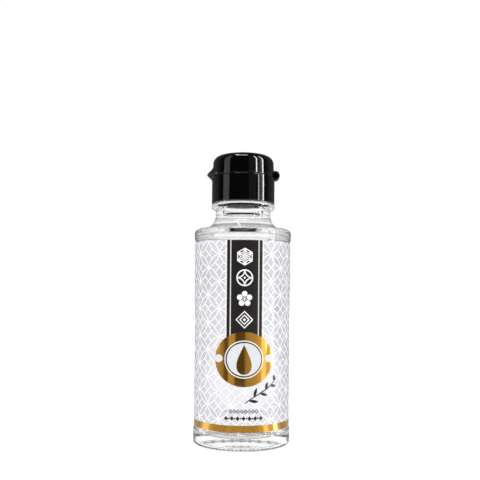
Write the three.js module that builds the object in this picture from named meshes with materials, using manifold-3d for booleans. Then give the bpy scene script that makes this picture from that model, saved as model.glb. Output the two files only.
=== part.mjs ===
// Small table bottle of clear soy sauce: glass bottle, sauce, film label with its printed fields, flip-top cap.
// Millimetres, +Z up. The origin is the middle of the base, and the front of the label faces -Y.
import * as THREE from "three";
import { mergeVertices } from "three/addons/utils/BufferGeometryUtils.js";
import Module from "manifold-3d";

const wasm = await Module();
wasm.setup();

// Driving dimensions: whole bottle
const BODY_RADIUS = 21.95;
const HEEL_RADIUS = 22.05;
const TURN_SIDES = 56;
const FIT_GAP = 0.3;

// Glass, outside
const PUSH_UP_DEPTH = 1.8;
const BEARING_INNER_RADIUS = 17.2;
const HEEL_ROUND = 2.1;
const PANEL_RADIUS = 21.6;
const PANEL_BOTTOM = 7.4;
const PANEL_TOP = 91.6;
const PANEL_EDGE = 0.7;
const SHOULDER_ROUND = 1.7;
const SHOULDER_SLOPE = 9;
const NECK_RADIUS = 12.5;
const FLARE_ROUND = 6.3;
const FLARE_TOP = 103.3;
const NECK_FILLET = 0.4;
const BEAD_RADIUS = 14.5;
const BEAD_BOTTOM = 106;
const BEAD_TOP = 108.4;
const BEAD_LOWER_ROUND = 1.2;
const BEAD_UPPER_ROUND = 1.1;
const FINISH_RADIUS = 11.7;
const MOUTH_TOP = 119.2;
const MOUTH_ROUND = 0.8;

// Glass, inside
const BORE_RADIUS = 8.8;
const BORE_FLARE_ROUND = 6;
const BORE_FLARE_TOP = 101.6;
const BORE_FLARE_TURN = 70;
const WALL = 2.5;
const INNER_SHOULDER_ROUND = 4.2;
const INNER_SHOULDER_TOP = 94.7;
const INNER_SHOULDER_TURN = 75;
const FLOOR = 4;
const FLOOR_RISE = 0.5;
const FLOOR_ROUND = 7;

// Sauce
const SAUCE_LEVEL = 102.5;

// Film label and its printed fields
const FILM_INNER_RADIUS = 21.7;
const FILM_THICKNESS = 0.12;
const FILM_BOTTOM = 8.15;
const FILM_TOP = 90.6;
const FILM_SEAM_GAP = 0.4;
const PRINT_INNER_RADIUS = 21.92;
const PRINT_THICKNESS = 0.1;
const PRINT_TURN = 2.6;
const STRIP_WIDTH = 15.5;
const BAND_HEIGHT = 3;
const MEDALLION_RADIUS = 12.1;
const MEDALLION_HEIGHT = 39.4;
const MEDALLION_SIDES = 56;
const MEDALLION_SHEET_HALF_TURN = 45;
const MARGIN = 1;

// Cap
const CAP_RADIUS = 14.35;
const CAP_BOTTOM = 108.7;
const CAP_EDGE_ROUND = 0.35;
const SEAM_HEIGHT = 120.8;
const CAP_DECK_UNDERSIDE = 119.5;
const LID_SEAM_RADIUS = 14.2;
const LID_TOP_RADIUS = 13.85;
const LID_ROUND = 3.3;
const LID_RIM_TOP = 130.25;
const LID_CROWN = 0.35;
const TAB_REACH = 16.6;
const TAB_PLAN_RADIUS = 9.3;
const TAB_TIP_HEIGHT = 121.95;
const TAB_LIP = 0.25;
const TAB_RISE = 3.2;
const TAB_DROP = 2.6;
const TAB_TOP_RADIUS = 6.6;
const TAB_FOOT_RADIUS = 6.9;
const HINGE_RADIUS = 2.1;
const HINGE_BORE_RADIUS = 1.15;
const HINGE_REACH = 16.65;
const HINGE_HEIGHT = 121.75;
const HINGE_WIDTH = 5;
const HINGE_WEB = 1.4;
const HINGE_SIDES = 20;

// Profile helpers: a profile is a list of (radius, height) points
function point(radius, height) {
  return new THREE.Vector2(radius, height);
}

function arc(centreRadius, centreHeight, round, fromDegrees, toDegrees, steps) {
  const from = THREE.MathUtils.degToRad(fromDegrees);
  const to = THREE.MathUtils.degToRad(toDegrees);
  const clockwise = toDegrees < fromDegrees;
  return new THREE.EllipseCurve(centreRadius, centreHeight, round, round, from, to, clockwise).getPoints(steps);
}

function turned(profile, sides = TURN_SIDES) {
  return new THREE.LatheGeometry(profile, sides).rotateX(Math.PI / 2);
}

// Solid helpers: closed geometry to a solid for joining and cutting, and back
function solid(geometry) {
  const bare = new THREE.BufferGeometry();
  const loose = geometry.index ? geometry.toNonIndexed() : geometry;
  bare.setAttribute("position", loose.getAttribute("position"));
  const merged = mergeVertices(bare, 1e-3);
  const vertProperties = merged.getAttribute("position").array;
  const triVerts = new Uint32Array(merged.index.array);
  return new wasm.Manifold(new wasm.Mesh({ numProp: 3, vertProperties, triVerts }));
}

function geometryOf(made) {
  const mesh = made.getMesh();
  const geometry = new THREE.BufferGeometry();
  geometry.setAttribute("position", new THREE.BufferAttribute(mesh.vertProperties, 3));
  geometry.setIndex(new THREE.BufferAttribute(mesh.triVerts, 1));
  geometry.computeVertexNormals();
  return geometry;
}

function named(name, geometry, material) {
  const mesh = new THREE.Mesh(geometry, material);
  mesh.name = name;
  return mesh;
}

// Glass: shoulder line that leaves the flare at the shoulder's slope and meets the corner round
const shoulderAngle = THREE.MathUtils.degToRad(SHOULDER_SLOPE);
const flareCentre = NECK_RADIUS + FLARE_ROUND;
const flareFoot = point(
  flareCentre - FLARE_ROUND * Math.sin(shoulderAngle),
  FLARE_TOP - FLARE_ROUND * Math.cos(shoulderAngle),
);
const cornerCentre = BODY_RADIUS - SHOULDER_ROUND;
const cornerRadius = cornerCentre + SHOULDER_ROUND * Math.sin(shoulderAngle);
const cornerTop = flareFoot.y - (cornerRadius - flareFoot.x) * Math.tan(shoulderAngle);
const cornerCentreHeight = cornerTop - SHOULDER_ROUND * Math.cos(shoulderAngle);

function baseProfile() {
  const bowl = (PUSH_UP_DEPTH ** 2 + BEARING_INNER_RADIUS ** 2) / (2 * PUSH_UP_DEPTH);
  const reach = THREE.MathUtils.radToDeg(Math.asin(BEARING_INNER_RADIUS / bowl));
  return [
    ...arc(0, PUSH_UP_DEPTH - bowl, bowl, 90, 90 - reach, 4),
    ...arc(HEEL_RADIUS - HEEL_ROUND, HEEL_ROUND, HEEL_ROUND, -90, 0, 5),
    point(HEEL_RADIUS, PANEL_BOTTOM - PANEL_EDGE),
  ];
}

function shoulderProfile() {
  return [
    point(PANEL_RADIUS, PANEL_BOTTOM),
    point(PANEL_RADIUS, PANEL_TOP),
    point(BODY_RADIUS, PANEL_TOP + PANEL_EDGE),
    ...arc(cornerCentre, cornerCentreHeight, SHOULDER_ROUND, 0, 90 - SHOULDER_SLOPE, 5),
    ...arc(flareCentre, FLARE_TOP, FLARE_ROUND, 270 - SHOULDER_SLOPE, 180, 7),
  ];
}

function finishProfile() {
  const lowerCentre = BEAD_RADIUS - BEAD_LOWER_ROUND;
  const upperCentre = BEAD_RADIUS - BEAD_UPPER_ROUND;
  return [
    point(NECK_RADIUS, BEAD_BOTTOM - NECK_FILLET),
    ...arc(lowerCentre, BEAD_BOTTOM + BEAD_LOWER_ROUND, BEAD_LOWER_ROUND, -90, 0, 4),
    ...arc(upperCentre, BEAD_TOP - BEAD_UPPER_ROUND, BEAD_UPPER_ROUND, 0, 90, 3),
    point(FINISH_RADIUS, BEAD_TOP),
    ...arc(FINISH_RADIUS - MOUTH_ROUND, MOUTH_TOP - MOUTH_ROUND, MOUTH_ROUND, 0, 90, 3),
  ];
}

// Inside surface from the mouth down to the floor, drawn in by a clearance when it bounds the sauce
function insideProfile(clearance, top) {
  const bore = BORE_RADIUS - clearance;
  const wall = PANEL_RADIUS - WALL - clearance;
  const flare = BORE_FLARE_ROUND + clearance;
  const shoulderCentre = wall - INNER_SHOULDER_ROUND;
  const shoulderHeight = INNER_SHOULDER_TOP - clearance - INNER_SHOULDER_ROUND;
  const floor = FLOOR + clearance;
  return [
    point(bore, top),
    ...arc(bore + flare, BORE_FLARE_TOP, flare, 180, 180 + BORE_FLARE_TURN, 5),
    ...arc(shoulderCentre, shoulderHeight, INNER_SHOULDER_ROUND, INNER_SHOULDER_TURN, 0, 5),
    ...arc(wall - FLOOR_ROUND, floor + FLOOR_ROUND, FLOOR_ROUND, 0, -90, 5),
    point(0, floor + FLOOR_RISE),
  ];
}

function glassBottle() {
  const profile = [...baseProfile(), ...shoulderProfile(), ...finishProfile(), ...insideProfile(0, MOUTH_TOP)];
  return turned(profile);
}

function sauce() {
  const downwards = [point(0, SAUCE_LEVEL), ...insideProfile(FIT_GAP, SAUCE_LEVEL)];
  return turned(downwards.reverse());
}

// Label: a part of a thin sleeve, from one angle to another, measured round from the front
function sleeve(innerRadius, thickness, bottom, top, fromDegrees, toDegrees) {
  const from = THREE.MathUtils.degToRad(fromDegrees - 90);
  const to = THREE.MathUtils.degToRad(toDegrees - 90);
  const steps = Math.ceil((TURN_SIDES * (toDegrees - fromDegrees)) / 360);
  const shape = new THREE.Shape();
  shape.absarc(0, 0, innerRadius + thickness, from, to, false);
  shape.absarc(0, 0, innerRadius, to, from, true);
  const options = { depth: top - bottom, bevelEnabled: false, curveSegments: Math.max(1, Math.ceil(steps / 2)) };
  return new THREE.ExtrudeGeometry(shape, options).translate(0, 0, bottom);
}

function arcDegrees(length) {
  return THREE.MathUtils.radToDeg(length / PRINT_INNER_RADIUS);
}

function filmLabel() {
  const half = 180 - arcDegrees(FILM_SEAM_GAP) / 2;
  return sleeve(FILM_INNER_RADIUS, FILM_THICKNESS, FILM_BOTTOM, FILM_TOP, PRINT_TURN - half, PRINT_TURN + half);
}

// A rod through the front of the label, in the direction that the medallion faces
function medallionRod(radius) {
  const length = 2 * BODY_RADIUS;
  const rod = new THREE.CylinderGeometry(radius, radius, length, MEDALLION_SIDES);
  rod.translate(0, -length / 2 - MARGIN, 0);
  rod.rotateZ(THREE.MathUtils.degToRad(PRINT_TURN));
  return solid(rod.translate(0, 0, MEDALLION_HEIGHT));
}

function medallion() {
  const from = PRINT_TURN - MEDALLION_SHEET_HALF_TURN;
  const to = PRINT_TURN + MEDALLION_SHEET_HALF_TURN;
  const bottom = MEDALLION_HEIGHT - MEDALLION_RADIUS - MARGIN;
  const top = MEDALLION_HEIGHT + MEDALLION_RADIUS + MARGIN;
  const sheet = solid(sleeve(PRINT_INNER_RADIUS, PRINT_THICKNESS, bottom, top, from, to));
  return geometryOf(sheet.intersect(medallionRod(MEDALLION_RADIUS)));
}

function strip() {
  const half = arcDegrees(STRIP_WIDTH) / 2;
  const from = PRINT_TURN - half;
  const to = PRINT_TURN + half;
  const sheet = solid(sleeve(PRINT_INNER_RADIUS, PRINT_THICKNESS, MEDALLION_HEIGHT, FILM_TOP, from, to));
  return geometryOf(sheet.subtract(medallionRod(MEDALLION_RADIUS + FIT_GAP)));
}

function band() {
  const half = 180 - arcDegrees(FILM_SEAM_GAP) / 2;
  const top = FILM_BOTTOM + BAND_HEIGHT;
  return sleeve(PRINT_INNER_RADIUS, PRINT_THICKNESS, FILM_BOTTOM, top, PRINT_TURN - half, PRINT_TURN + half);
}

// Cap: the thumb tab is a lens with a sharp rim, set off centre so that a crescent of it stands out to the left
function thumbTab(bottom, top) {
  const profile = [
    point(0, TAB_TIP_HEIGHT - TAB_DROP),
    point(TAB_FOOT_RADIUS, TAB_TIP_HEIGHT - TAB_DROP),
    point(TAB_PLAN_RADIUS, TAB_TIP_HEIGHT - TAB_LIP),
    point(TAB_PLAN_RADIUS, TAB_TIP_HEIGHT + TAB_LIP),
    point(TAB_TOP_RADIUS, TAB_TIP_HEIGHT + TAB_RISE),
    point(0, TAB_TIP_HEIGHT + TAB_RISE),
  ];
  const lens = turned(profile).translate(TAB_PLAN_RADIUS - TAB_REACH, 0, 0);
  const slab = new THREE.BoxGeometry(2 * TAB_REACH, 2 * TAB_REACH, top - bottom);
  return solid(lens).intersect(solid(slab.translate(-TAB_REACH / 2, 0, (top + bottom) / 2)));
}

function capBase() {
  const top = SEAM_HEIGHT - FIT_GAP / 2;
  const bore = FINISH_RADIUS + FIT_GAP;
  const outside = [
    point(0, CAP_BOTTOM),
    ...arc(CAP_RADIUS - CAP_EDGE_ROUND, CAP_BOTTOM + CAP_EDGE_ROUND, CAP_EDGE_ROUND, -90, 0, 2),
    ...arc(CAP_RADIUS - CAP_EDGE_ROUND, top - CAP_EDGE_ROUND, CAP_EDGE_ROUND, 0, 90, 2),
    point(0, top),
  ];
  const inside = [
    point(0, CAP_BOTTOM - MARGIN),
    point(bore, CAP_BOTTOM - MARGIN),
    point(bore, CAP_DECK_UNDERSIDE),
    point(0, CAP_DECK_UNDERSIDE),
  ];
  const body = solid(turned(outside)).add(thumbTab(SEAM_HEIGHT - TAB_DROP, top));
  return geometryOf(body.subtract(solid(turned(inside))));
}

function capLid() {
  const bottom = SEAM_HEIGHT + FIT_GAP / 2;
  const rim = LID_TOP_RADIUS - LID_ROUND;
  const crown = (LID_CROWN ** 2 + rim ** 2) / (2 * LID_CROWN);
  const crownReach = THREE.MathUtils.radToDeg(Math.asin(rim / crown));
  const outside = [
    point(0, bottom),
    ...arc(LID_SEAM_RADIUS - CAP_EDGE_ROUND, bottom + CAP_EDGE_ROUND, CAP_EDGE_ROUND, -90, 0, 2),
    ...arc(rim, LID_RIM_TOP - LID_ROUND, LID_ROUND, 0, 85, 7),
    ...arc(0, LID_RIM_TOP + LID_CROWN - crown, crown, 90 - crownReach, 90, 2),
  ];
  return geometryOf(solid(turned(outside)).add(thumbTab(bottom, LID_RIM_TOP)));
}

// Hinge: a strap bent round into a loop between the two halves of the cap, with a web across its middle
function capHinge() {
  const shape = new THREE.Shape();
  shape.absarc(0, 0, HINGE_RADIUS, 0, 2 * Math.PI, false);
  const hole = new THREE.Path();
  hole.absarc(0, 0, HINGE_BORE_RADIUS, 0, 2 * Math.PI, true);
  shape.holes.push(hole);
  const options = { depth: HINGE_WIDTH, bevelEnabled: false, curveSegments: HINGE_SIDES / 2 };
  const loop = new THREE.ExtrudeGeometry(shape, options).translate(0, 0, -HINGE_WIDTH / 2);
  loop.rotateX(Math.PI / 2).translate(HINGE_REACH - HINGE_RADIUS, 0, HINGE_HEIGHT);
  const webRadius = (HINGE_BORE_RADIUS + HINGE_RADIUS) / 2;
  const room = CAP_RADIUS + FIT_GAP;
  const low = HINGE_HEIGHT - 2 * HINGE_RADIUS;
  const high = HINGE_HEIGHT + 2 * HINGE_RADIUS;
  const keepOut = turned([point(0, low), point(room, low), point(room, high), point(0, high)]);
  const web = new THREE.CylinderGeometry(webRadius, webRadius, HINGE_WEB, HINGE_SIDES);
  web.translate(HINGE_REACH - HINGE_RADIUS, 0, HINGE_HEIGHT);
  return geometryOf(solid(loop).add(solid(web)).subtract(solid(keepOut)));
}

// Materials
function clearGlass() {
  const look = { color: 0xf4f8f7, roughness: 0.03, metalness: 0, transparent: true, opacity: 0.3 };
  return new THREE.MeshStandardMaterial(look);
}

function clearSauce() {
  const look = { color: 0xf6f5f0, roughness: 0.05, metalness: 0, transparent: true, opacity: 0.4 };
  return new THREE.MeshStandardMaterial(look);
}

function clearFilm() {
  const look = { color: 0xe9ebf1, roughness: 0.25, metalness: 0, transparent: true, opacity: 0.6 };
  return new THREE.MeshStandardMaterial(look);
}

function blackInk() {
  return new THREE.MeshStandardMaterial({ color: 0x231f1d, roughness: 0.35, metalness: 0 });
}

function goldFoil() {
  return new THREE.MeshStandardMaterial({ color: 0xc8892e, roughness: 0.28, metalness: 1 });
}

function blackPlastic() {
  return new THREE.MeshStandardMaterial({ color: 0x0b0b0c, roughness: 0.12, metalness: 0 });
}

const bottle = new THREE.Group();
bottle.add(named("glass_bottle", glassBottle(), clearGlass()));
bottle.add(named("soy_sauce", sauce(), clearSauce()));

const label = new THREE.Group();
label.add(named("label_film", filmLabel(), clearFilm()));
label.add(named("label_strip", strip(), blackInk()));
label.add(named("label_medallion", medallion(), goldFoil()));
label.add(named("label_band", band(), goldFoil()));
bottle.add(label);

const cap = new THREE.Group();
cap.add(named("cap_base", capBase(), blackPlastic()));
cap.add(named("cap_lid", capLid(), blackPlastic()));
cap.add(named("cap_hinge", capHinge(), blackPlastic()));
bottle.add(cap);

export default bottle;
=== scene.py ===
# Table bottle of clear soy sauce: glass, sauce, printed film label, flip-top cap and a pale studio
import math

import bmesh
import bpy
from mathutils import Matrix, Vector


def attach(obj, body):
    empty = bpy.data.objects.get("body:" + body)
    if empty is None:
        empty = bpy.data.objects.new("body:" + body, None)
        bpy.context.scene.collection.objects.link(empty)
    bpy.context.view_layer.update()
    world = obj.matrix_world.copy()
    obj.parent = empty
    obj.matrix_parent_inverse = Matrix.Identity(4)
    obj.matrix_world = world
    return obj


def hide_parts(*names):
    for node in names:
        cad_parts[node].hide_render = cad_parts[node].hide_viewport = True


bl_info = {
    "name": "Soy sauce bottle",
    "version": (1, 0, 0),
    "blender": (4, 5, 0),
    "location": "3D View > Sidebar > Bottle",
    "description": "Dresses the packed solids of a small table bottle of clear soy sauce",
    "category": "Object",
}

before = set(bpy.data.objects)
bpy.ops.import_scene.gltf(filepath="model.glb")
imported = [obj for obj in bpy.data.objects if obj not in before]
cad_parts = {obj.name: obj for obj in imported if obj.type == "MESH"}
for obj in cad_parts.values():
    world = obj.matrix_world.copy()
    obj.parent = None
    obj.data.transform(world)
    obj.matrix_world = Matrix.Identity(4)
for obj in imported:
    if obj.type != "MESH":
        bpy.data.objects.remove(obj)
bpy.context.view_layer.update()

MM = 0.001
# Refracted light dims where a direction's share to the side lies between these two
SIDE_DIM_START = 0.8
SIDE_DIM_END = 0.86
# Glow that a mirror sees low round the horizon: degrees to the right of the front, and strength
STUDIO_RING = (
    (-180, 0.2), (-135, 0.25), (-119, 0.45), (-102, 0.38), (-91, 0.7), (-84, 1.3), (-74, 1.3), (-68, 0.6),
    (-56, 0.42), (-44, 0.3), (-39, 0.1), (-32, 0.1), (-28, 0.5), (-17, 0.4), (-13, 0.06), (5, 0.06),
    (9, 0.28), (16, 0.36), (30, 0.42), (44, 0.62), (48, 1.4), (54, 1.4), (58, 0.75), (69, 0.75),
    (72, 6.0), (78, 6.0), (81, 0.9), (90, 0.5), (98, 0.25), (108, 0.3), (124, 0.5), (150, 0.25),
)
RING_PEAK = max(strength for _, strength in STUDIO_RING)
GLASS_INDEX = 1.5
SAUCE_INDEX = 1.37
BODY = "root"


# Property helpers
def length(name, description, millimetres):
    return bpy.props.FloatProperty(
        name=name, description=description, default=millimetres * MM, unit="LENGTH", precision=5
    )


def degrees(name, description, value):
    return bpy.props.FloatProperty(
        name=name, description=description, default=math.radians(value), subtype="ANGLE"
    )


def number(name, description, value):
    return bpy.props.FloatProperty(name=name, description=description, default=value)


def count(name, description, value):
    return bpy.props.IntProperty(name=name, description=description, default=value, min=1)


def colour(name, description, value):
    return bpy.props.FloatVectorProperty(
        name=name, description=description, default=value, size=3, subtype="COLOR", min=0, max=1
    )


# Settings: glass and sauce
class BottleGlassSettings(bpy.types.PropertyGroup):
    body_radius: length("Body radius", "Outside of the glass under the shoulder", 21.95)
    heel_radius: length("Heel radius", "Outside of the glass at the foot", 22.05)
    panel_radius: length("Panel radius", "Glass in the recess that holds the label", 21.6)
    panel_bottom: length("Panel bottom", "Lower edge of the label recess", 7.4)
    panel_top: length("Panel top", "Upper edge of the label recess", 91.6)
    panel_edge: length("Panel edge", "Height over which the recess runs out", 0.7)
    push_up: length("Push-up", "Rise of the hollow under the base", 1.8)
    bearing_radius: length("Bearing radius", "Inner edge of the ring on which the glass stands", 17.2)
    heel_round: length("Heel round", "Radius of the foot's edge", 2.1)
    shoulder_round: length("Shoulder round", "Radius of the shoulder's corner", 1.7)
    shoulder_slope: degrees("Shoulder slope", "Slope of the shoulder", 9)
    neck_radius: length("Neck radius", "Outside of the neck", 12.5)
    flare_round: length("Flare round", "Radius of the curve from shoulder to neck", 6.3)
    flare_top: length("Flare top", "Height where the neck becomes straight", 103.3)
    bead_radius: length("Bead radius", "Outside of the ring under the cap", 14.5)
    bead_bottom: length("Bead bottom", "Lowest point of the ring under the cap", 106)
    bead_top: length("Bead top", "Flat top of the ring under the cap", 108.4)
    finish_radius: length("Finish radius", "Outside of the mouth inside the cap", 11.7)
    mouth_top: length("Mouth top", "Height of the mouth's rim", 119.2)
    bore_radius: length("Bore radius", "Inside of the neck", 8.8)
    wall: length("Wall", "Glass thickness at the label", 2.5)
    floor: length("Floor", "Height of the inside floor at its edge", 4.0)
    sauce_level: length("Sauce level", "Height of the sauce in the neck", 102.5)
    knurl_count: count("Knurl count", "Ridges round the foot", 72)
    glass_colour: colour("Glass colour", "Tint of the clear glass", (0.99, 0.995, 0.993))
    sauce_colour: colour("Sauce colour", "Tint of the clear sauce", (0.993, 0.993, 0.99))


# Settings: label
class BottleLabelSettings(bpy.types.PropertyGroup):
    film_radius: length("Film radius", "Inside of the film", 21.64)
    film_thickness: length("Film thickness", "Thickness of the film", 0.12)
    film_bottom: length("Film bottom", "Lower edge of the film", 8.15)
    film_top: length("Film top", "Upper edge of the film", 90.6)
    seam_gap: length("Seam gap", "Gap between the film's ends at the back", 0.4)
    turn: degrees("Turn", "How far the print is turned to the right of the front", 2.6)
    lattice_pitch: length("Lattice pitch", "Distance between lattice points", 5.95)
    lattice_line: length("Lattice line", "Width of a lattice line", 0.5)
    petal_bulge: length("Petal bulge", "How far a petal's side bows out", 1.22)
    strip_width: length("Strip width", "Width of the dark strip with its bars", 15.5)
    strip_field: length("Strip field", "Width of the dark field between the silver lines", 11.75)
    silver_line: length("Silver line", "Width of a silver line", 0.48)
    ornament_size: length("Ornament size", "Width of an ornament on the strip", 7)
    medallion_width: length("Medallion width", "Half width of the gold disc, round the bottle", 13.05)
    medallion_height: length("Medallion height", "Half height of the gold disc", 11.75)
    medallion_centre: length("Medallion centre", "Height of the gold disc's centre", 39.4)
    band_height: length("Band height", "Height of the gold band", 3.0)
    # The film's grey is painted shade, in place of the shaded bottle seen through the clear film; the inner
    # face's near white is painted light
    film_painted_shade: colour("Film colour", "Clear film between the lattice lines", (0.64, 0.65, 0.69))
    inner_painted_light: colour("Back colour", "Inner face of the film", (0.96, 0.96, 0.97))
    haze_colour: colour("Haze colour", "White haze round the medallion", (0.85, 0.85, 0.89))
    white_ink: colour("White ink", "Lattice and ornaments", (0.94, 0.94, 0.96))
    pale_ink: colour("Pale ink", "Field and notches of the medallion", (0.74, 0.76, 0.8))
    black_ink: colour("Black ink", "Strip, flourish and small marks", (0.0175, 0.0135, 0.0115))
    silver_ink: colour("Silver ink", "Lines along the strip", (0.72, 0.71, 0.7))
    gold_foil: colour("Gold foil", "Medallion and band", (0.86, 0.42, 0.045))


# Settings: cap
class BottleCapSettings(bpy.types.PropertyGroup):
    radius: length("Cap radius", "Outside of the cap's base", 14.35)
    bottom: length("Cap bottom", "Lower edge of the cap", 108.7)
    seam: length("Seam height", "Height of the line between base and lid", 120.8)
    seam_gap: length("Seam gap", "Gap between base and lid", 0.16)
    deck: length("Deck height", "Underside of the deck over the mouth", 119.5)
    edge_round: length("Edge round", "Radius of the cap's small edges", 0.3)
    lid_seam_radius: length("Lid seam radius", "Outside of the lid at the seam", 14.2)
    lid_top_radius: length("Lid top radius", "Outside of the lid under its rounded edge", 13.85)
    lid_round: length("Lid round", "Radius of the lid's upper edge", 3.3)
    lid_rim: length("Lid rim", "Height of the lid at its edge", 130.25)
    lid_crown: length("Lid crown", "Rise of the lid's middle", 0.33)
    tab_reach: length("Tab reach", "How far the thumb tab stands out from the axis", 16.6)
    tab_radius: length("Tab radius", "Radius of the tab seen from above", 9.3)
    tab_tip: length("Tab tip", "Height of the tab's edge", 121.95)
    hinge_radius: length("Hinge radius", "Outside radius of the hinge loop", 2.1)
    hinge_bore: length("Hinge bore", "Inside radius of the hinge loop", 1.15)
    hinge_reach: length("Hinge reach", "How far the hinge stands out from the axis", 16.65)
    hinge_height: length("Hinge height", "Height of the hinge loop's middle", 121.75)
    hinge_width: length("Hinge width", "Width of the hinge strap", 5)
    hinge_web: length("Hinge web", "Thickness of the web across the hinge loop", 1.4)
    plastic: colour("Plastic", "Black plastic of the cap", (0.0012, 0.0012, 0.0014))


# Settings: studio
class BottleStudioSettings(bpy.types.PropertyGroup):
    camera_distance: length("Camera distance", "From the bottle's axis to the lens", 298.8)
    camera_height: length("Camera height", "Height of the lens over the floor", 65.1)
    lens: number("Lens", "Focal length in millimetres on a 36 mm sensor", 48.75)
    roll: degrees("Roll", "Lean of the photographed bottle", 0.5)
    floor_colour: colour("Floor colour", "Pale floor", (0.93, 0.93, 0.93))


def settings():
    scene = bpy.context.scene
    return scene.bottle_glass, scene.bottle_label, scene.bottle_cap, scene.bottle_studio


# Profile helpers: a profile is a list of (radius, height) points in metres
def arc(centre, height, radius, start, end, steps):
    points = []
    for step in range(steps + 1):
        angle = math.radians(start + (end - start) * step / steps)
        points.append((centre + radius * math.cos(angle), height + radius * math.sin(angle)))
    return points


def bowl(rim_radius, rim_height, rise, steps):
    radius = (rise**2 + rim_radius**2) / (2 * rise)
    reach = math.degrees(math.asin(rim_radius / radius))
    return arc(0, rim_height + rise - radius, radius, 90, 90 - reach, steps)


def mesh_object(name, verts, faces, material, sharp=30):
    mesh = bpy.data.meshes.new(name)
    mesh.from_pydata(verts, [], faces)
    piece = bpy.data.objects.new(name, mesh)
    bpy.context.scene.collection.objects.link(piece)
    finish_mesh(mesh, material, sharp)
    return piece


def finish_mesh(mesh, material, sharp):
    work = bmesh.new()
    work.from_mesh(mesh)
    bmesh.ops.remove_doubles(work, verts=work.verts, dist=1e-7)
    bmesh.ops.recalc_face_normals(work, faces=work.faces)
    work.to_mesh(mesh)
    work.free()
    mesh.materials.clear()
    mesh.materials.append(material)
    mesh.shade_smooth()
    mesh.set_sharp_from_angle(angle=math.radians(sharp))


# Turns a profile round the axis. A profile that starts and ends on the axis gives a closed solid. The
# swell function returns how much further out a point lies at a given angle and height.
def turned(name, profile, material, sides=192, swell=None, sharp=30):
    verts = []
    faces = []
    rings = []
    for radius, height in profile:
        if radius < 1e-7:
            rings.append([len(verts)] * sides)
            verts.append((0, 0, height))
            continue
        rings.append(list(range(len(verts), len(verts) + sides)))
        for side in range(sides):
            angle = 2 * math.pi * side / sides
            out = radius + (swell(angle, radius, height) if swell else 0)
            verts.append((out * math.cos(angle), out * math.sin(angle), height))
    for low, high in zip(rings, rings[1:]):
        for side in range(sides):
            after = (side + 1) % sides
            face = [low[side], low[after], high[after], high[side]]
            face = [v for i, v in enumerate(face) if v not in face[:i]]
            if len(face) > 2:
                faces.append(face)
    return mesh_object(name, verts, faces, material, sharp)


# Shader helpers
def add(tree, kind, inputs=None, **attributes):
    made = tree.nodes.new(kind)
    for key, value in attributes.items():
        setattr(made, key, value)
    for key, value in (inputs or {}).items():
        socket = made.inputs[key]
        if isinstance(value, bpy.types.NodeSocket):
            tree.links.new(value, socket)
        else:
            socket.default_value = value
    return made


def math_node(tree, operation, *values, clamp=False):
    inputs = dict(enumerate(values))
    return add(tree, "ShaderNodeMath", inputs, operation=operation, use_clamp=clamp).outputs[0]


def object_place(tree):
    return add(tree, "ShaderNodeTexCoord").outputs["Object"]


def split_vector(tree, value):
    return add(tree, "ShaderNodeSeparateXYZ", {0: value}).outputs


def mapped(tree, value, low, high, to_low=0.0, to_high=1.0, smooth=True):
    kind = "SMOOTHSTEP" if smooth else "LINEAR"
    inputs = {"Value": value, "From Min": low, "From Max": high, "To Min": to_low, "To Max": to_high}
    return add(tree, "ShaderNodeMapRange", inputs, interpolation_type=kind).outputs["Result"]


def blended(tree, factor, first, second):
    made = add(tree, "ShaderNodeMix", data_type="RGBA")
    for socket, value in ((made.inputs[0], factor), (made.inputs[6], first), (made.inputs[7], second)):
        if isinstance(value, bpy.types.NodeSocket):
            tree.links.new(value, socket)
        else:
            socket.default_value = value
    return made.outputs[2]


def rgba(value):
    return (*value, 1.0)


def new_material(name):
    material = bpy.data.materials.new(name)
    material.use_nodes = True
    tree = material.node_tree
    shader = tree.nodes["Principled BSDF"]
    return material, tree, shader


# Sets constants and links sockets on the shader, each under its input's name
def set_shader(shader, **values):
    for key, value in values.items():
        socket = shader.inputs[key.replace("_", " ")]
        if isinstance(value, bpy.types.NodeSocket):
            shader.id_data.links.new(value, socket)
        else:
            socket.default_value = value


def new_group(name, inputs, outputs):
    tree = bpy.data.node_groups.new(name, "ShaderNodeTree")
    for label, kind, default in inputs:
        socket = tree.interface.new_socket(label, in_out="INPUT", socket_type=kind)
        socket.default_value = default
    for label, kind in outputs:
        tree.interface.new_socket(label, in_out="OUTPUT", socket_type=kind)
    return tree, tree.nodes.new("NodeGroupInput"), tree.nodes.new("NodeGroupOutput")


def place(tree, group, inputs=None):
    made = tree.nodes.new("ShaderNodeGroup")
    made.node_tree = group
    for key, value in (inputs or {}).items():
        made.inputs[key].default_value = value
    return made


# Group: distance round the bottle from the middle of the print, and height, both in millimetres
def wrapped_place_group(turn, radius):
    outputs = [("Arc", "NodeSocketFloat"), ("Height", "NodeSocketFloat")]
    tree, _, out = new_group("Place on label", [], outputs)
    where = split_vector(tree, object_place(tree))
    front = math_node(tree, "MULTIPLY", where["Y"], -1.0)
    angle = math_node(tree, "ARCTAN2", where["X"], front)
    turned_angle = math_node(tree, "SUBTRACT", angle, turn)
    tree.links.new(math_node(tree, "MULTIPLY", turned_angle, radius / MM), out.inputs["Arc"])
    tree.links.new(math_node(tree, "MULTIPLY", where["Z"], 1 / MM), out.inputs["Height"])
    return tree


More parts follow.
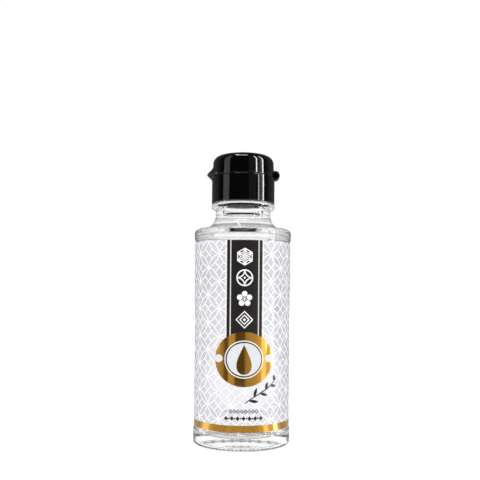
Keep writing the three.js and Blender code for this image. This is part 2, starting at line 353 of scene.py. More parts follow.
# Group: fine uneven grain as a mask and as a bump normal
def grain_group():
    inputs = [
        ("Scale", "NodeSocketFloat", 300.0),
        ("Detail", "NodeSocketFloat", 4.0),
        ("Stretch", "NodeSocketVector", (1.0, 1.0, 1.0)),
        ("Depth", "NodeSocketFloat", 0.00002),
    ]
    outputs = [("Mask", "NodeSocketFloat"), ("Normal", "NodeSocketVector")]
    tree, given, out = new_group("Surface grain", inputs, outputs)
    stretched = add(tree, "ShaderNodeVectorMath", {0: object_place(tree)}, operation="MULTIPLY")
    tree.links.new(given.outputs["Stretch"], stretched.inputs[1])
    noise = add(tree, "ShaderNodeTexNoise", {"Vector": stretched.outputs[0]})
    tree.links.new(given.outputs["Scale"], noise.inputs["Scale"])
    tree.links.new(given.outputs["Detail"], noise.inputs["Detail"])
    bump = add(tree, "ShaderNodeBump", {"Height": noise.outputs["Fac"]})
    tree.links.new(given.outputs["Depth"], bump.inputs["Distance"])
    tree.links.new(noise.outputs["Fac"], out.inputs["Mask"])
    tree.links.new(bump.outputs["Normal"], out.inputs["Normal"])
    return tree


def shared_groups():
    label = settings()[1]
    if "Surface grain" not in bpy.data.node_groups:
        grain_group()
        wrapped_place_group(label.turn, label.film_radius + label.film_thickness)
    return bpy.data.node_groups["Surface grain"], bpy.data.node_groups["Place on label"]


# Materials
def glass_material(name, tint, index):
    grain, _ = shared_groups()
    material, tree, shader = new_material(name)
    upright = (1.0, 1.0, 0.45)
    ripple = place(tree, grain, {"Scale": 90.0, "Detail": 0.5, "Stretch": upright, "Depth": 0.03 * MM})
    set_shader(shader, Base_Color=rgba(tint), IOR=index, Transmission_Weight=1.0, Roughness=0.0)
    set_shader(shader, Normal=ripple.outputs["Normal"])
    return material


# Clear sauce, with a painted dark line (painted shade) where its surface climbs the glass at the front and
# the back of the neck
def sauce_material():
    glass = settings()[0]
    material = glass_material("clear sauce", glass.sauce_colour, SAUCE_INDEX)
    tree = material.node_tree
    shader = tree.nodes["Principled BSDF"]
    where = split_vector(tree, object_place(tree))
    squares = [math_node(tree, "POWER", where[axis], 2.0) for axis in ("X", "Y")]
    radius = math_node(tree, "SQRT", math_node(tree, "ADD", *squares))
    edge = mapped(tree, radius, glass.bore_radius - 1 * MM, glass.bore_radius - 0.8 * MM)
    level = glass.sauce_level
    raised = mapped(tree, where["Z"], level + 0.05 * MM, level + 0.35 * MM)
    beside = math_node(tree, "ABSOLUTE", where["X"])
    middle = mapped(tree, beside, 6.2 * MM, 7.2 * MM, 1.0, 0.0)
    # Painted shade: the sauce's colour goes nearly black along its climbing edge, in place of the dark edge
    # that its curved surface shows
    line = math_node(tree, "MULTIPLY", math_node(tree, "MULTIPLY", edge, raised), middle)
    dark = rgba([c * 0.02 for c in glass.sauce_colour])
    set_shader(shader, Base_Color=blended(tree, line, rgba(glass.sauce_colour), dark))
    return material


# Clear film with a white haze round the medallion and beside the strip, and bare under strip and band
# Its front face is painted shade: a grey in place of the shaded back of the bottle seen through the clear
# film.
# Its inner face is painted light: a near white in place of the bright studio seen through the film.
def film_material():
    label = settings()[1]
    grain, where = shared_groups()
    material, tree, shader = new_material("clear film")
    spot = place(tree, where)
    height = spot.outputs["Height"]
    beside = math_node(tree, "ABSOLUTE", spot.outputs["Arc"])
    centre = label.medallion_centre / MM
    edge = label.strip_width / MM / 2
    above = math_node(tree, "GREATER_THAN", height, centre)
    haze = film_haze(tree, spot.outputs["Arc"], beside, height, above)
    mottle = place(tree, grain, {"Scale": 120.0, "Stretch": (1.0, 1.0, 0.5), "Depth": 0.01 * MM})
    mask = mottle.outputs["Mask"]
    # The grey fill is painted shade, with a random mottle over it
    lighter = rgba([c * 1.12 for c in label.film_painted_shade])
    fill = blended(tree, mapped(tree, mask, 0.35, 0.65), rgba(label.film_painted_shade), lighter)
    front_colour = blended(tree, haze, fill, rgba(label.haze_colour))
    normal = split_vector(tree, add(tree, "ShaderNodeNewGeometry").outputs["Normal"])
    here = split_vector(tree, object_place(tree))
    outward = [math_node(tree, "MULTIPLY", normal[axis], here[axis]) for axis in ("X", "Y")]
    inside = math_node(tree, "LESS_THAN", math_node(tree, "ADD", *outward), 0.0)
    # Inner faces take the painted light, outer faces the painted shade and the haze
    film_painted_shade = blended(tree, inside, front_colour, rgba(label.inner_painted_light))
    cover = mapped(tree, haze, 0.0, 1.0, 0.7, 0.95, smooth=False)
    behind = mapped(tree, here["Y"], -12 * MM, 22 * MM, 1.0, 0.4)
    cover = math_node(tree, "MULTIPLY", cover, behind)
    under_strip = math_node(tree, "MULTIPLY", math_node(tree, "LESS_THAN", beside, edge - 0.2), above)
    band_top = (label.film_bottom + label.band_height) / MM
    under_band = math_node(tree, "LESS_THAN", height, band_top - 0.2)
    bare = math_node(tree, "MAXIMUM", under_strip, under_band)
    printed_over = mapped(tree, bare, 0.0, 1.0, 1.0, 0.05, smooth=False)
    cover = math_node(tree, "MULTIPLY", cover, printed_over)
    rough = mapped(tree, mask, 0.3, 0.7, 0.16, 0.26)
    set_shader(shader, Base_Color=film_painted_shade, Alpha=cover, Roughness=rough, Normal=mottle.outputs["Normal"])
    return material


def film_haze(tree, arc_out, beside, height, above):
    label = settings()[1]
    centre = label.medallion_centre / MM
    edge = label.strip_width / MM / 2
    across = math_node(tree, "POWER", arc_out, 2.0)
    rise = math_node(tree, "MULTIPLY", math_node(tree, "SUBTRACT", height, centre - 6), 0.8)
    away = math_node(tree, "SQRT", math_node(tree, "ADD", across, math_node(tree, "POWER", rise, 2.0)))
    round_medallion = mapped(tree, away, 22.0, 11.0, 0.0, 0.85)
    border = math_node(tree, "MULTIPLY", mapped(tree, beside, edge + 1.1, edge + 0.6), above)
    near_strip = mapped(tree, beside, edge + 7.0, edge, 0.0, 0.45)
    near_strip = math_node(tree, "MULTIPLY", near_strip, mapped(tree, height, 88.0, 50.0))
    haze = math_node(tree, "MAXIMUM", round_medallion, near_strip)
    return math_node(tree, "MAXIMUM", haze, border)


def ink_material(name, value, roughness):
    grain, _ = shared_groups()
    material, tree, shader = new_material(name)
    speck = place(tree, grain, {"Scale": 900.0, "Depth": 0.004 * MM})
    mask = speck.outputs["Mask"]
    darker = rgba([c * 0.93 for c in value])
    shade = blended(tree, mapped(tree, mask, 0.35, 0.65), darker, rgba(value))
    rough = mapped(tree, mask, 0.3, 0.7, roughness * 0.9, roughness * 1.15)
    set_shader(shader, Base_Color=shade, Roughness=rough, Normal=speck.outputs["Normal"])
    return material


# Foil with fine streaks up its height, under a clear coat
def foil_material():
    label = settings()[1]
    grain, _ = shared_groups()
    material, tree, shader = new_material("gold foil")
    set_shader(shader, Metallic=0.97, Coat_Weight=1.0, Coat_Roughness=0.03, Coat_IOR=1.45)
    upright = (1.0, 1.0, 0.004)
    streak = place(tree, grain, {"Scale": 260.0, "Detail": 2.0, "Stretch": upright, "Depth": 0.004 * MM})
    mask = streak.outputs["Mask"]
    bright = rgba([min(c * 1.12, 1.0) for c in label.gold_foil])
    shade = blended(tree, mapped(tree, mask, 0.3, 0.7), rgba(label.gold_foil), bright)
    rough = mapped(tree, mask, 0.3, 0.7, 0.05, 0.08)
    set_shader(shader, Base_Color=shade, Roughness=rough, Normal=streak.outputs["Normal"])
    return material


# Glossy moulded plastic, whose walls sink a little unevenly
def plastic_material(name, wave_depth):
    cap = settings()[2]
    grain, _ = shared_groups()
    material, tree, shader = new_material(name)
    set_shader(shader, IOR=1.49, Specular_IOR_Level=1.0)
    sink = place(tree, grain, {"Scale": 190.0, "Stretch": (1.0, 1.0, 1.6), "Depth": wave_depth})
    mask = sink.outputs["Mask"]
    lighter = rgba([c * 1.5 for c in cap.plastic])
    shade = blended(tree, mapped(tree, mask, 0.35, 0.65), rgba(cap.plastic), lighter)
    rough = mapped(tree, mask, 0.3, 0.7, 0.04, 0.08)
    set_shader(shader, Base_Color=shade, Roughness=rough, Normal=sink.outputs["Normal"])
    return material


# Returns the material of that name, and makes it the first time
def kept(name, make):
    return bpy.data.materials.get(name) or make()


def ink(name):
    label = settings()[1]
    inks = {
        "black ink": (label.black_ink, 0.32),
        "silver ink": (label.silver_ink, 0.35),
        "white ink": (label.white_ink, 0.4),
        "pale ink": (label.pale_ink, 0.4),
    }
    return kept(name, lambda: ink_material(name, *inks[name]))


# Glass and sauce
def outer_profile(glass):
    slope = math.degrees(glass.shoulder_slope)
    flare_centre = glass.neck_radius + glass.flare_round
    foot_radius = flare_centre - glass.flare_round * math.sin(glass.shoulder_slope)
    foot_height = glass.flare_top - glass.flare_round * math.cos(glass.shoulder_slope)
    corner_centre = glass.body_radius - glass.shoulder_round
    corner_radius = corner_centre + glass.shoulder_round * math.sin(glass.shoulder_slope)
    corner_top = foot_height - (corner_radius - foot_radius) * math.tan(glass.shoulder_slope)
    corner_height = corner_top - glass.shoulder_round * math.cos(glass.shoulder_slope)
    lower = 1.2 * MM
    upper = 1.2 * MM
    rim = 0.8 * MM
    heel = glass.heel_round
    points = bowl(glass.bearing_radius, 0, glass.push_up, 12)
    points += arc(glass.heel_radius - heel, heel, heel, -90, 0, 14)
    recess_start = glass.panel_bottom - glass.panel_edge
    recess_end = glass.panel_top + glass.panel_edge
    points += eased(glass.heel_radius, recess_start, glass.panel_radius, glass.panel_bottom)
    points += eased(glass.panel_radius, glass.panel_top, glass.body_radius, recess_end)
    points += arc(corner_centre, corner_height, glass.shoulder_round, 0, 90 - slope, 14)
    points += arc(flare_centre, glass.flare_top, glass.flare_round, 270 - slope, 180, 16)
    points += [(glass.neck_radius, glass.bead_bottom - 0.5 * MM)]
    points += arc(glass.bead_radius - lower, glass.bead_bottom + lower, lower, -75, 0, 10)
    points += arc(glass.bead_radius - upper, glass.bead_top - upper, upper, 0, 90, 8)
    points += [(glass.finish_radius, glass.bead_top)]
    points += arc(glass.finish_radius - rim, glass.mouth_top - rim, rim, 0, 90, 6)
    return points


def eased(radius_a, height_a, radius_b, height_b, steps=6):
    points = []
    for step in range(steps + 1):
        part = step / steps
        ease = part * part * (3 - 2 * part)
        radius = radius_a + (radius_b - radius_a) * ease
        points.append((radius, height_a + (height_b - height_a) * part))
    return points


def inner_profile(glass, clearance, top):
    bore = glass.bore_radius - clearance
    wall = glass.panel_radius - glass.wall - clearance
    flare = 6 * MM + clearance
    flare_top = 101.6 * MM
    shoulder = 4.2 * MM
    shoulder_height = 94.7 * MM - clearance - shoulder
    corner = 7 * MM
    floor = glass.floor + clearance
    floor_rise = 0.5 * MM
    points = [(bore, top)]
    points += arc(bore + flare, flare_top, flare, 180, 250, 14)
    points += arc(wall - shoulder, shoulder_height, shoulder, 75, 0, 12)
    points += arc(wall - corner, floor + corner, corner, 0, -90, 14)
    points += reversed(bowl(wall - corner, floor, floor_rise, 6)[:-1])
    return points


def build_glass():
    glass = settings()[0]
    clear = kept("clear glass", lambda: glass_material("clear glass", glass.glass_colour, GLASS_INDEX))
    profile = outer_profile(glass) + inner_profile(glass, 0, glass.mouth_top)
    bottle = turned("bottle_glass", profile, clear, sharp=50)
    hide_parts("glass_bottle")
    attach(bottle, BODY)
    # Painted shade: the ridges on the foot are glass tinted to a tenth, in place of the dark that shows
    # through the clear ridges
    shade = [c * 0.1 for c in glass.glass_colour]
    shaded = kept("ridge glass painted dark", lambda: glass_material("ridge glass painted dark", shade, GLASS_INDEX))
    knurl = knurl_ring(glass, shaded)
    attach(knurl, BODY)


# The sauce bites into the glass, so that no air gap shows, and its surface climbs the wall
def build_sauce():
    glass = settings()[0]
    clear = kept("clear sauce", sauce_material)
    bite = -0.12 * MM
    dip = 1.4 * MM
    climb = 2.5 * MM
    spread = 1.5 * MM
    wall = glass.bore_radius - bite
    surface = []
    steps = 14
    for step in range(steps + 1):
        radius = wall * step / steps
        height = glass.sauce_level - dip + climb * math.exp((radius - wall) / spread)
        surface.append((radius, height))
    inside = inner_profile(glass, bite, surface[-1][1])[1:]
    sauce = turned("sauce_liquid", surface + inside, clear, sharp=50)
    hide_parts("soy_sauce")
    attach(sauce, BODY)


# Geometry Nodes helpers
def geometry_tree(name, inputs):
    tree = bpy.data.node_groups.new(name, "GeometryNodeTree")
    for label, kind, default in inputs:
        socket = tree.interface.new_socket(label, in_out="INPUT", socket_type=kind)
        if default is not None:
            socket.default_value = default
    tree.interface.new_socket("Geometry", in_out="OUTPUT", socket_type="NodeSocketGeometry")
    return tree, tree.nodes.new("NodeGroupInput"), tree.nodes.new("NodeGroupOutput")


def evaluated_mesh(name, tree, values):
    holder = bpy.data.objects.new(name, bpy.data.meshes.new(name))
    bpy.context.scene.collection.objects.link(holder)
    modifier = holder.modifiers.new("Repeat", "NODES")
    modifier.node_group = tree
    for item in tree.interface.items_tree:
        if item.in_out == "INPUT" and item.name in values:
            modifier[item.identifier] = values[item.name]
    holder.update_tag()
    depsgraph = bpy.context.evaluated_depsgraph_get()
    mesh = bpy.data.meshes.new_from_object(holder.evaluated_get(depsgraph), depsgraph=depsgraph)
    holder.modifiers.remove(modifier)
    holder.data = mesh
    mesh.name = name
    return holder


# Ends a tree with real copies that carry the given material
def finish_tree(tree, placed, given, out):
    real = add(tree, "GeometryNodeRealizeInstances", {0: placed.outputs[0]})
    painted = add(tree, "GeometryNodeSetMaterial", {
        "Geometry": real.outputs[0], "Material": given.outputs["Material"],
    })
    tree.links.new(painted.outputs[0], out.inputs[0])


def vector(tree, x=0.0, y=0.0, z=0.0):
    return add(tree, "ShaderNodeCombineXYZ", {"X": x, "Y": y, "Z": z}).outputs[0]


# Tree: small ridges round the foot
def knurl_tree():
    inputs = [
        ("Count", "NodeSocketInt", 100),
        ("Radius", "NodeSocketFloat", 0.02),
        ("Height", "NodeSocketFloat", 0.0),
        ("Length", "NodeSocketFloat", 0.0006),
        ("Width", "NodeSocketFloat", 0.0002),
        ("Material", "NodeSocketMaterial", None),
    ]
    tree, given, out = geometry_tree("Foot ridges", inputs)
    ring = add(tree, "GeometryNodeMeshCircle", {
        "Vertices": given.outputs["Count"], "Radius": given.outputs["Radius"],
    })
    raised = add(tree, "GeometryNodeTransform", {
        "Geometry": ring.outputs[0], "Translation": vector(tree, z=given.outputs["Height"]),
    })
    ball = add(tree, "GeometryNodeMeshIcoSphere", {"Radius": 1.0, "Subdivisions": 2})
    ridge = add(tree, "GeometryNodeTransform", {
        "Geometry": ball.outputs[0],
        "Scale": vector(tree, given.outputs["Length"], given.outputs["Width"], given.outputs["Width"]),
        "Rotation": (0.0, math.radians(-35), 0.0),
    })
    where = split_vector(tree, add(tree, "GeometryNodeInputPosition").outputs[0])
    angle = math_node(tree, "ARCTAN2", where["Y"], where["X"])
    placed = add(tree, "GeometryNodeInstanceOnPoints", {
        "Points": raised.outputs[0], "Instance": ridge.outputs[0], "Rotation": vector(tree, z=angle),
    })
    finish_tree(tree, placed, given, out)
    return tree


# The ridges lie on the round edge of the foot, at an angle below its level line
def knurl_ring(glass, material):
    drop = math.radians(-51)
    over_floor = 0.02 * MM
    radius = glass.heel_radius - glass.heel_round + glass.heel_round * math.cos(drop)
    height = glass.heel_round + glass.heel_round * math.sin(drop)
    values = {
        "Count": glass.knurl_count,
        "Radius": radius,
        "Height": height,
        "Length": 0.85 * MM,
        "Width": 0.33 * MM,
        "Material": material,
    }
    ring = evaluated_mesh("foot_ridges", knurl_tree(), values)
    finish_mesh(ring.data, material, 60)
    for vertex in ring.data.vertices:
        vertex.co.z = max(vertex.co.z, over_floor)
    return ring


# Tree: lattice of petals with small crossed lines between, drawn flat
def lattice_tree():
    inputs = [
        ("Pitch", "NodeSocketFloat", 0.006),
        ("Bulge", "NodeSocketFloat", 0.0012),
        ("Line Width", "NodeSocketFloat", 0.0005),
        ("Line Height", "NodeSocketFloat", 0.00003),
        ("Blob", "NodeSocketFloat", 0.0007),
        ("Columns", "NodeSocketInt", 12),
        ("Rows", "NodeSocketInt", 8),
        ("Material", "NodeSocketMaterial", None),
    ]
    tree, given, out = geometry_tree("Petal lattice", inputs)
    pitch = given.outputs["Pitch"]
    bulge = given.outputs["Bulge"]
    reach = math_node(tree, "MULTIPLY", pitch, math.sqrt(2))
    middle = math_node(tree, "MULTIPLY", reach, 0.5)
    sides = add(tree, "GeometryNodeJoinGeometry")
    for sign in (1.0, -1.0):
        bow = math_node(tree, "MULTIPLY", bulge, sign)
        side = add(tree, "GeometryNodeCurveArc", {
            "Resolution": 8,
            "Start": (0.0, 0.0, 0.0),
            "Middle": vector(tree, middle, bow),
            "End": vector(tree, reach),
        }, mode="POINTS")
        tree.links.new(side.outputs["Curve"], sides.inputs[0])
    lines = add(tree, "GeometryNodeJoinGeometry")
    for quarter in (1, 3):
        petal = add(tree, "GeometryNodeTransform", {
            "Geometry": sides.outputs[0], "Rotation": (0.0, 0.0, quarter * math.pi / 4),
        })
        tree.links.new(petal.outputs[0], lines.inputs[0])
    half = math_node(tree, "SUBTRACT", middle, bulge)
    leg = math_node(tree, "MULTIPLY", half, math.sqrt(0.5))
    back = math_node(tree, "MULTIPLY", leg, -1.0)
    left = math_node(tree, "SUBTRACT", pitch, leg)
    right = math_node(tree, "ADD", pitch, leg)
    for low, high in ((back, leg), (leg, back)):
        line = add(tree, "GeometryNodeCurvePrimitiveLine", {
            "Start": vector(tree, left, low), "End": vector(tree, right, high),
        })
        parts = add(tree, "GeometryNodeResampleCurve", {"Curve": line.outputs[0], "Count": 6})
        tree.links.new(parts.outputs[0], lines.inputs[0])
    upright = add(tree, "GeometryNodeSetCurveNormal", {"Curve": lines.outputs[0]}, mode="Z_UP")
    section = add(tree, "GeometryNodeCurvePrimitiveQuadrilateral", {
        "Width": given.outputs["Line Width"], "Height": given.outputs["Line Height"],
    })
    ribbons = add(tree, "GeometryNodeCurveToMesh", {
        "Curve": upright.outputs[0], "Profile Curve": section.outputs[0], "Fill Caps": True,
    })
    blob = add(tree, "GeometryNodeMeshCylinder", {
        "Vertices": 10, "Radius": given.outputs["Blob"], "Depth": given.outputs["Line Height"],
    })
    motif = add(tree, "GeometryNodeJoinGeometry")
    tree.links.new(ribbons.outputs[0], motif.inputs[0])
    tree.links.new(blob.outputs["Mesh"], motif.inputs[0])
    step = math_node(tree, "MULTIPLY", pitch, 2.0)
    gaps_across = math_node(tree, "SUBTRACT", given.outputs["Columns"], 1.0)
    gaps_up = math_node(tree, "SUBTRACT", given.outputs["Rows"], 1.0)
    width = math_node(tree, "MULTIPLY", step, gaps_across)
    height = math_node(tree, "MULTIPLY", step, gaps_up)
    grid = add(tree, "GeometryNodeMeshGrid", {
        "Size X": width, "Size Y": height,
        "Vertices X": given.outputs["Columns"], "Vertices Y": given.outputs["Rows"],
    })
    shifted = add(tree, "GeometryNodeTransform", {
        "Geometry": grid.outputs["Mesh"], "Translation": vector(tree, pitch, pitch),
    })
    points = add(tree, "GeometryNodeJoinGeometry")
    tree.links.new(grid.outputs["Mesh"], points.inputs[0])
    tree.links.new(shifted.outputs[0], points.inputs[0])
    placed = add(tree, "GeometryNodeInstanceOnPoints", {
        "Points": points.outputs[0], "Instance": motif.outputs[0],
    })
    finish_tree(tree, placed, given, out)
    return tree


# Print: flat shapes as (points, faces), drawn in millimetres round the bottle (s) and up it (z)
def disc(s, z, half_width, half_height=None, sides=48, start=0.0):
    half_height = half_height or half_width
    points = []
    for side in range(sides):
        angle = start + 2 * math.pi * side / sides
        points.append((s + half_width * math.cos(angle), z + half_height * math.sin(angle)))
    return points, [list(range(sides))]


def rectangle(s_low, s_high, z_low, z_high):
    return [(s_low, z_low), (s_high, z_low), (s_high, z_high), (s_low, z_high)], [[0, 1, 2, 3]]


def stroke(path, width, closed=False, taper=0.0):
    count_points = len(path)
    points = []
    for index, (s, z) in enumerate(path):
        before = path[index - 1] if closed or index else path[0]
        after = path[(index + 1) % count_points] if closed or index < count_points - 1 else path[-1]
        ds, dz = after[0] - before[0], after[1] - before[1]
        run = math.hypot(ds, dz) or 1.0
        part = index / (count_points - 1)
        half = width / 2 * (1 - taper * abs(2 * part - 1) ** 2)
        points.append((s - dz / run * half, z + ds / run * half))
        points.append((s + dz / run * half, z - ds / run * half))
    faces = []
    for index in range(count_points if closed else count_points - 1):
        a = 2 * index
        b = 2 * ((index + 1) % count_points)
        faces.append([a, a + 1, b + 1, b])
    return points, faces


def circle_path(s, z, half_width, half_height=None, sides=48, start=0.0, turn=2 * math.pi):
    half_height = half_height or half_width
    whole = abs(turn - 2 * math.pi) < 1e-6
    path = []
    for side in range(sides if whole else sides + 1):
        angle = start + turn * side / sides
        path.append((s + half_width * math.cos(angle), z + half_height * math.sin(angle)))
    return path


def thick(shape, lift, thickness):
    points, faces = shape
    total = len(points)
    verts = [(s * MM, lift + thickness, z * MM) for s, z in points]
    verts += [(s * MM, lift, z * MM) for s, z in points]
    made = [list(face) for face in faces] + [[v + total for v in reversed(face)] for face in faces]
    edges = {(a, b) for face in faces for a, b in zip(face, face[1:] + face[:1])}
    made += [[b, a, a + total, b + total] for a, b in edges if (b, a) not in edges]
    return verts, made


# Cuts flat work into narrow upright slices and bends it round the label
def wrap(work, wrap_radius, base_radius, turn, step):
    low = min(v.co.x for v in work.verts)
    high = max(v.co.x for v in work.verts)
    cut = low + step
    while cut < high - step / 4:
        geometry = work.verts[:] + work.edges[:] + work.faces[:]
        bmesh.ops.bisect_plane(work, geom=geometry, dist=1e-8, plane_co=(cut, 0, 0), plane_no=(1, 0, 0))
        cut += step
    for vertex in work.verts:
        angle = turn + vertex.co.x / wrap_radius
        radius = base_radius + vertex.co.y
        vertex.co = Vector((radius * math.sin(angle), -radius * math.cos(angle), vertex.co.z))


def printed(name, shapes, lift, thickness, material, step=0.8 * MM):
    label = settings()[1]
    base = label.film_radius + label.film_thickness
    work = bmesh.new()
    for shape in shapes:
        verts, faces = thick(shape, lift, thickness)
        made = [work.verts.new(v) for v in verts]
        for face in faces:
            work.faces.new([made[v] for v in face])
    wrap(work, base, base, label.turn, step)
    mesh = bpy.data.meshes.new(name)
    work.to_mesh(mesh)
    work.free()
    piece = bpy.data.objects.new(name, mesh)
    bpy.context.scene.collection.objects.link(piece)
    finish_mesh(mesh, material, 40)
    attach(piece, BODY)
    return piece


def build_film():
    label = settings()[1]
    clear = kept("clear film", film_material)
    inner = label.film_radius
    outer = inner + label.film_thickness
    half = math.pi - label.seam_gap / outer / 2
    steps = 240
    verts = []
    faces = []
    for step in range(steps + 1):
        angle = label.turn - half + 2 * half * step / steps
        for radius, height in ((outer, label.film_bottom), (outer, label.film_top),
                               (inner, label.film_top), (inner, label.film_bottom)):
            verts.append((radius * math.sin(angle), -radius * math.cos(angle), height))
    for step in range(steps):
        a, b = 4 * step, 4 * step + 4
        for corner in range(4):
            after = (corner + 1) % 4
            faces.append([a + corner, b + corner, b + after, a + after])
    faces += [[0, 1, 2, 3], [4 * steps + 3, 4 * steps + 2, 4 * steps + 1, 4 * steps]]
    film = mesh_object("film_sleeve", verts, faces, clear, sharp=40)
    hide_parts("label_film")
    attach(film, BODY)


def build_lattice():
    label = settings()[1]
    white = ink("white ink")
    base = label.film_radius + label.film_thickness
    pitch = label.lattice_pitch
    columns = 13
    rows = 9
    values = {
        "Pitch": pitch,
        "Bulge": label.petal_bulge,
        "Line Width": label.lattice_line,
        "Line Height": 0.04 * MM,
        "Blob": 0.62 * MM,
        "Columns": columns,
        "Rows": rows,
        "Material": white,
    }
    lattice = evaluated_mesh("lattice_print", lattice_tree(), values)
    column_angle = math.radians(15.45)
    wrap_radius = pitch / column_angle
    star_turn = math.radians(3.6)
    star_shift = (star_turn - label.turn) * wrap_radius
    star_height = 84.8 * MM
    star_row = 6
    work = bmesh.new()
    work.from_mesh(lattice.data)
    for vertex in work.verts:
        s, up, out = vertex.co
        vertex.co = Vector((s + star_shift, out, up + star_height - star_row * pitch))
    half = (math.pi - label.seam_gap / base / 2) * wrap_radius - 0.2 * MM
    low = label.film_bottom + label.band_height - 0.3 * MM
    high = label.film_top - 0.1 * MM
    uncut = 400 * MM
    trims = (
        ((half, 0, 0), (1, 0, 0)),
        ((-half, 0, 0), (-1, 0, 0)),
        ((0, 0, high), (0, 0, 1)),
        ((0, 0, low), (0, 0, -1)),
    )
    for where, outwards in trims:
        geometry = work.verts[:] + work.edges[:] + work.faces[:]
        cut = bmesh.ops.bisect_plane(
            work, geom=geometry, dist=1e-8, plane_co=where, plane_no=outwards, clear_outer=True
        )
        edges = [item for item in cut["geom_cut"] if isinstance(item, bmesh.types.BMEdge)]
        bmesh.ops.holes_fill(work, edges=edges, sides=0)
    wrap(work, wrap_radius, base, label.turn, uncut)
    work.to_mesh(lattice.data)
    work.free()
    finish_mesh(lattice.data, white, 40)
    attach(lattice, BODY)


def build_strip():
    label = settings()[1]
    edge = label.strip_width / MM / 2
    field = label.strip_field / MM / 2
    line = label.silver_line / MM
    bottom = label.medallion_centre / MM
    top = label.film_top / MM - 0.15
    field_shape = rectangle(-edge, edge, bottom, top)
    strip = printed("strip_print", [field_shape], 0.02 * MM, 0.03 * MM, ink("black ink"))
    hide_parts("label_strip")
    spans = ((field, field + line), (-field - line, -field))
    bars = [rectangle(left, right, bottom, top) for left, right in spans]
    lines = printed("strip_silver_lines", bars, 0.04 * MM, 0.02 * MM, ink("silver ink"))
    shapes = []
    ornaments = {83.3: hemp_leaf, 74.3: seven_treasures, 65.3: plum_blossom, 56.4: nested_diamond}
    for height, ornament in ornaments.items():
        shapes += ornament(height, label.ornament_size / MM / 2)
    marks = printed("strip_ornaments", shapes, 0.04 * MM, 0.02 * MM, ink("white ink"))


# Ornaments: common geometric figures, each drawn round a height with a given half size
def hemp_leaf(height, half):
    width = half * 0.15
    corners = circle_path(0, height, half * 1.02, sides=6, start=math.pi / 6)
    inner = circle_path(0, height, half * 0.52, sides=6, start=0)
    shapes = [stroke(corners + corners[:1], width)]
    for index, corner in enumerate(corners):
        shapes.append(stroke([(0, height), corner], width))
        for neighbour in (inner[index], inner[(index + 1) % 6]):
            shapes.append(stroke([corner, neighbour, (0, height)], width * 0.85))
    return shapes


def seven_treasures(height, half):
    width = half * 0.17
    reach = half * 0.95
    shapes = [stroke(circle_path(0, height, reach, sides=40), width, closed=True)]
    far = reach * math.sqrt(2)
    for quarter in range(4):
        angle = math.pi / 4 + quarter * math.pi / 2
        s, z = far * math.cos(angle), height + far * math.sin(angle)
        path = circle_path(s, z, reach, sides=14, start=angle + 3 * math.pi / 4, turn=math.pi / 2)
        shapes.append(stroke(path, width * 0.9))
    shapes.append(disc(0, height, half * 0.16, sides=4))
    return shapes


def plum_blossom(height, half):
    shapes = []
    for petal in range(5):
        angle = math.pi / 2 + 2 * math.pi * petal / 5
        s, z = half * 0.62 * math.cos(angle), height + half * 0.62 * math.sin(angle)
        shapes.append(disc(s, z, half * 0.345, sides=24))
        near = (half * 0.08 * math.cos(angle + 0.63), height + half * 0.08 * math.sin(angle + 0.63))
        end = (half * 0.27 * math.cos(angle + 0.63), height + half * 0.27 * math.sin(angle + 0.63))
        shapes.append(stroke([near, end], half * 0.08))
    shapes.append(disc(0, height, half * 0.11, sides=16))
    return shapes


def nested_diamond(height, half):
    shapes = []
    for size in (1.0, 0.55):
        corners = circle_path(0, height, half * size, sides=4, start=0)
        shapes.append(stroke(corners + corners[:1], half * 0.17))
    shapes.append(disc(0, height, half * 0.2, sides=4))
    return shapes


def drop_shape(s, z, half):
    steps = 40
    path = []
    for step in range(steps):
        angle = 2 * math.pi * step / steps
        width = half * 0.72 * math.sin(angle) * math.sin(angle / 2) ** 1.5
        path.append((s + width, z + half * math.cos(angle)))
    return path, [list(range(steps))]


def build_medallion():
    label = settings()[1]
    gold = kept("gold foil", foil_material)
    centre = label.medallion_centre / MM
    wide = label.medallion_width / MM
    tall = label.medallion_height / MM
    foil = printed("medallion_foil", [disc(0, centre, wide, tall, 96)], 0.05 * MM, 0.03 * MM, gold)
    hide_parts("label_medallion")
    ring = stroke(circle_path(0, centre, 8.3, 7.9, 72), 0.42, closed=True)
    light = printed("medallion_white", [ring], 0.075 * MM, 0.02 * MM, ink("white ink"))
    field = disc(0, centre, 7.45, 7.05, 72)
    notches = [disc(side * 11.3, centre + 0.3, 1.95, 1.7, 32) for side in (-1, 1)]
    panel = printed("medallion_panel", [field] + notches, 0.072 * MM, 0.02 * MM, ink("pale ink"))
    thin = stroke(circle_path(0, centre, 7.78, 7.38, 72), 0.3, closed=True)
    dark = printed("medallion_line", [thin], 0.075 * MM, 0.015 * MM, ink("black ink"))
    drop = printed("medallion_drop", [drop_shape(0, centre, 6.5)], 0.085 * MM, 0.025 * MM, gold)


def build_band():
    label = settings()[1]
    gold = kept("gold foil", foil_material)
    base = label.film_radius + label.film_thickness
    half = (math.pi - label.seam_gap / base / 2) * base / MM
    low = label.film_bottom / MM
    shape = rectangle(-half, half, low, low + label.band_height / MM)
    band = printed("band_foil", [shape], 0.02 * MM, 0.03 * MM, gold, step=1.0 * MM)
    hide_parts("label_band")


# Smooth curve through all the points
def curve_through(points, steps):
    path = []
    padded = [points[0]] + points + [points[-1]]
    for a, b, c, d in zip(padded, padded[1:], padded[2:], padded[3:]):
        for step in range(steps):
            part = step / steps
            path.append(tuple(between(part, *values) for values in zip(a, b, c, d)))
    return path + [points[-1]]


def between(part, before, start, end, after):
    slope = end - before
    square = 2 * before - 5 * start + 4 * end - after
    cube = 3 * start - before - 3 * end + after
    return 0.5 * (2 * start + slope * part + square * part**2 + cube * part**3)


def leaf(s, z, angle, size, width):
    steps = 12
    path = []
    for step in range(steps + 1):
        part = step / steps
        path.append((size * part, width * math.sin(math.pi * part) ** 0.8))
    path += [(x, -y) for x, y in reversed(path[1:-1])]
    cosine = math.cos(angle)
    sine = math.sin(angle)
    turned_path = [(s + x * cosine - y * sine, z + x * sine + y * cosine) for x, y in path]
    return turned_path, [list(range(len(turned_path)))]


